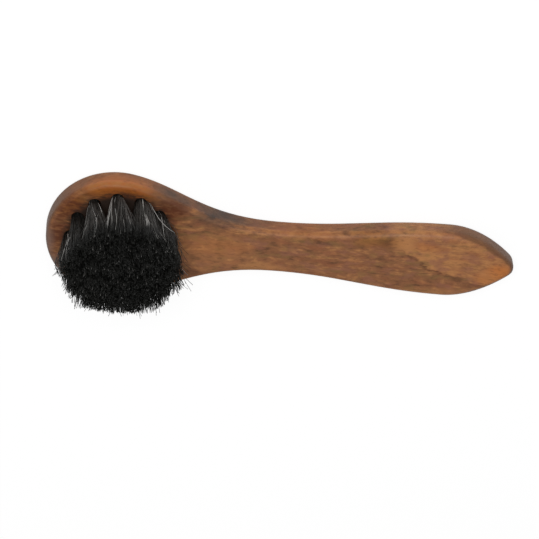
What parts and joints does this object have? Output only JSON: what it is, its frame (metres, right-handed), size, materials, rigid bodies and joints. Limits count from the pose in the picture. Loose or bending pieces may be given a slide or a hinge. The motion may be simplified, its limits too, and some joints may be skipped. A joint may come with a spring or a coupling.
{
  "type": "applicator brush",
  "caption": "Round-headed wooden applicator brush with a flat one-piece stock, a swelling handle, and tufts of dark hair held in drilled holes by wire anchors.",
  "frame": {"origin": "on the flat back of the stock, under the middle of the round head", "axes": "+X along the handle towards its tip, +Z out of the head along the hair"},
  "size_m": [0.1695, 0.0492, 0.0288],
  "materials": {
    "stained_wood": "walnut stain under a satin lacquer",
    "black_hair": "black horsehair with a soft sheen",
    "anchor_wire": "flat wire, sealed inside the stock"
  },
  "bodies": {
    "root": {"wooden_stock": "stained_wood", "hair_tuft_01": "black_hair", "hair_tuft_02": "black_hair", "hair_tuft_03": "black_hair", "hair_tuft_04": "black_hair", "hair_tuft_05": "black_hair", "hair_tuft_06": "black_hair", "hair_tuft_07": "black_hair", "hair_tuft_08": "black_hair", "hair_tuft_09": "black_hair", "hair_tuft_10": "black_hair", "hair_tuft_11": "black_hair", "hair_tuft_12": "black_hair", "hair_tuft_13": "black_hair", "hair_tuft_14": "black_hair", "hair_tuft_15": "black_hair", "hair_tuft_16": "black_hair", "hair_tuft_17": "black_hair", "hair_tuft_18": "black_hair", "hair_tuft_19": "black_hair", "hair_tuft_20": "black_hair", "hair_tuft_21": "black_hair", "hair_tuft_22": "black_hair", "hair_tuft_23": "black_hair", "hair_tuft_24": "black_hair", "wire_anchor_01": "anchor_wire", "wire_anchor_02": "anchor_wire", "wire_anchor_03": "anchor_wire", "wire_anchor_04": "anchor_wire", "wire_anchor_05": "anchor_wire", "wire_anchor_06": "anchor_wire", "wire_anchor_07": "anchor_wire", "wire_anchor_08": "anchor_wire", "wire_anchor_09": "anchor_wire", "wire_anchor_10": "anchor_wire", "wire_anchor_11": "anchor_wire", "wire_anchor_12": "anchor_wire", "wire_anchor_13": "anchor_wire", "wire_anchor_14": "anchor_wire", "wire_anchor_15": "anchor_wire", "wire_anchor_16": "anchor_wire", "wire_anchor_17": "anchor_wire", "wire_anchor_18": "anchor_wire", "wire_anchor_19": "anchor_wire", "wire_anchor_20": "anchor_wire", "wire_anchor_21": "anchor_wire", "wire_anchor_22": "anchor_wire", "wire_anchor_23": "anchor_wire", "wire_anchor_24": "anchor_wire"}
  },
  "joints": []
}
